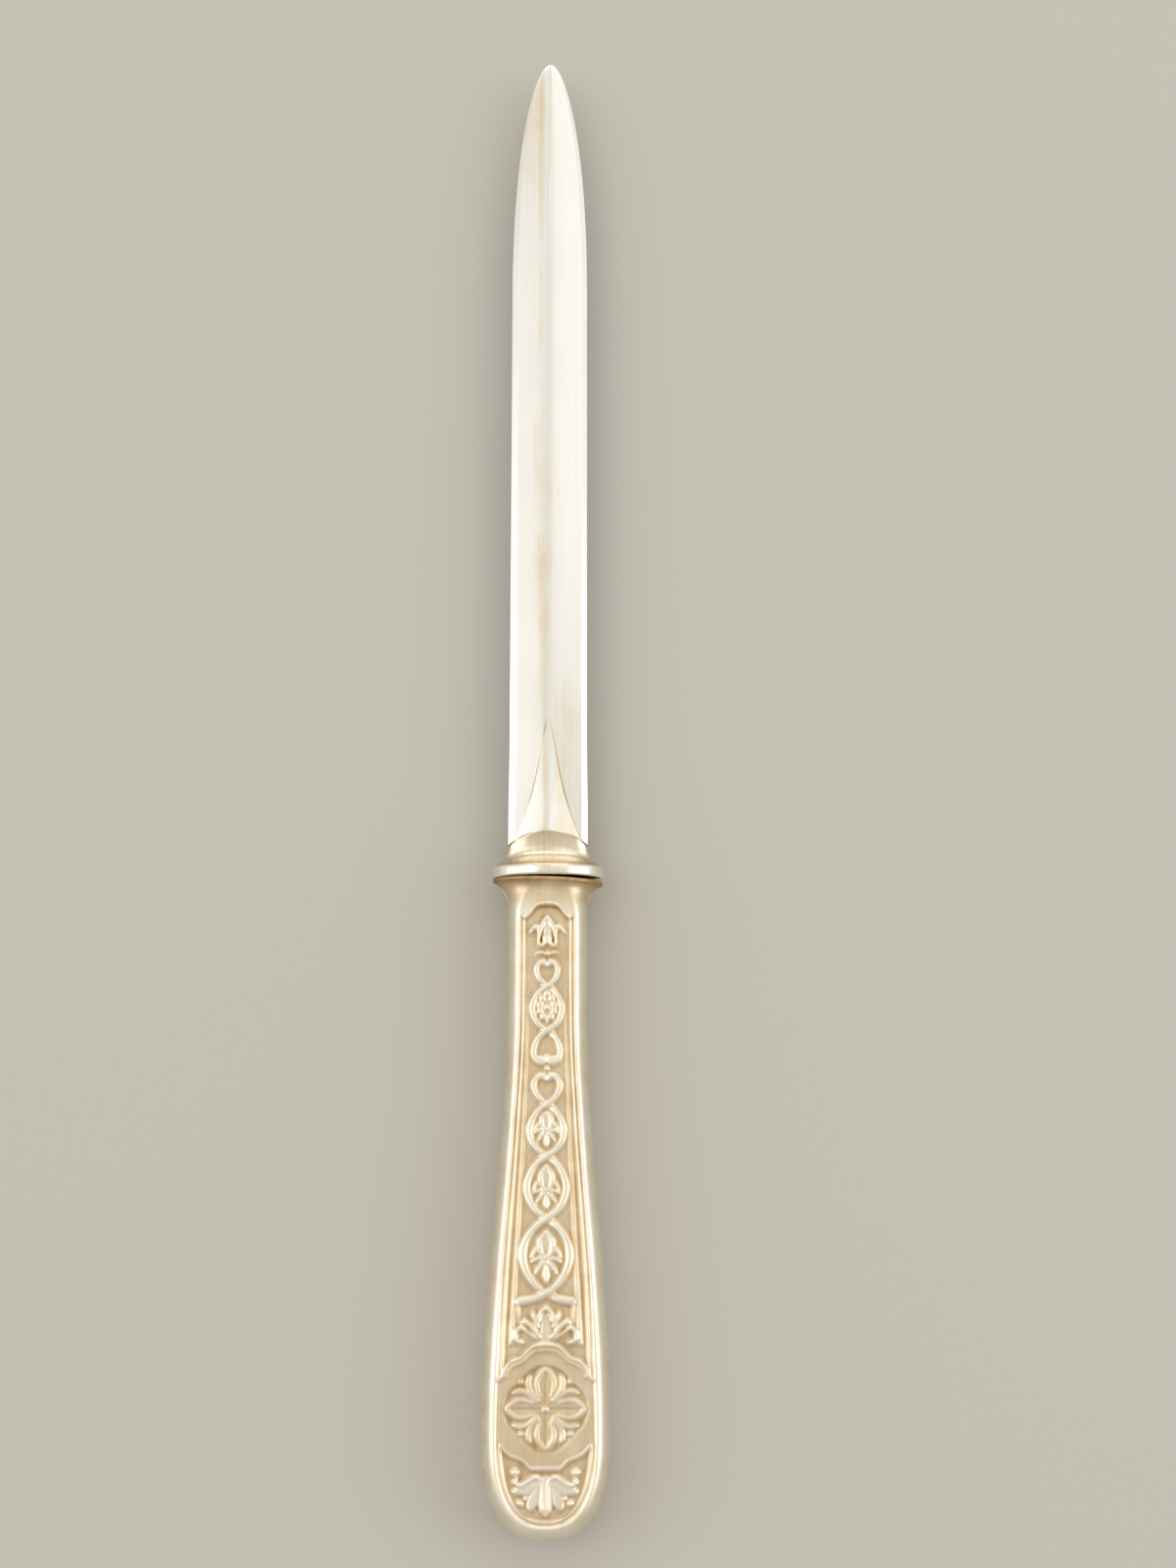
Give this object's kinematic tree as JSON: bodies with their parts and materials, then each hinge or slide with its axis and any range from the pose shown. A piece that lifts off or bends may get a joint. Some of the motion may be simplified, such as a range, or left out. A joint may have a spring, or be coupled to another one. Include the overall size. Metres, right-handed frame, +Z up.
{
  "type": "letter opener",
  "caption": "Slim two-edged letter opener with an ogive tip, an oval bolster and a hollow, waisted handle struck with strapwork, leaves and a rosette medallion.",
  "frame": {"origin": "on the surface that the opener lies on, below the middle of its length and width", "axes": "+Y along the blade towards its tip, +Z up through the struck front, +X across"},
  "size_m": [0.0164, 0.2, 0.01],
  "materials": {
    "blade_steel": "polished, with fine handling scratches",
    "handle_silver": "satin silver, worn bright on the high points, warm tarnish in the recesses",
    "solder": "hard solder, filed flush",
    "cement": "dark resin cement, matt"
  },
  "bodies": {
    "root": {"blade": "blade_steel", "handle_front": "handle_silver", "handle_back": "handle_silver", "seam_solder": "solder", "cement_core": "cement"}
  },
  "joints": []
}
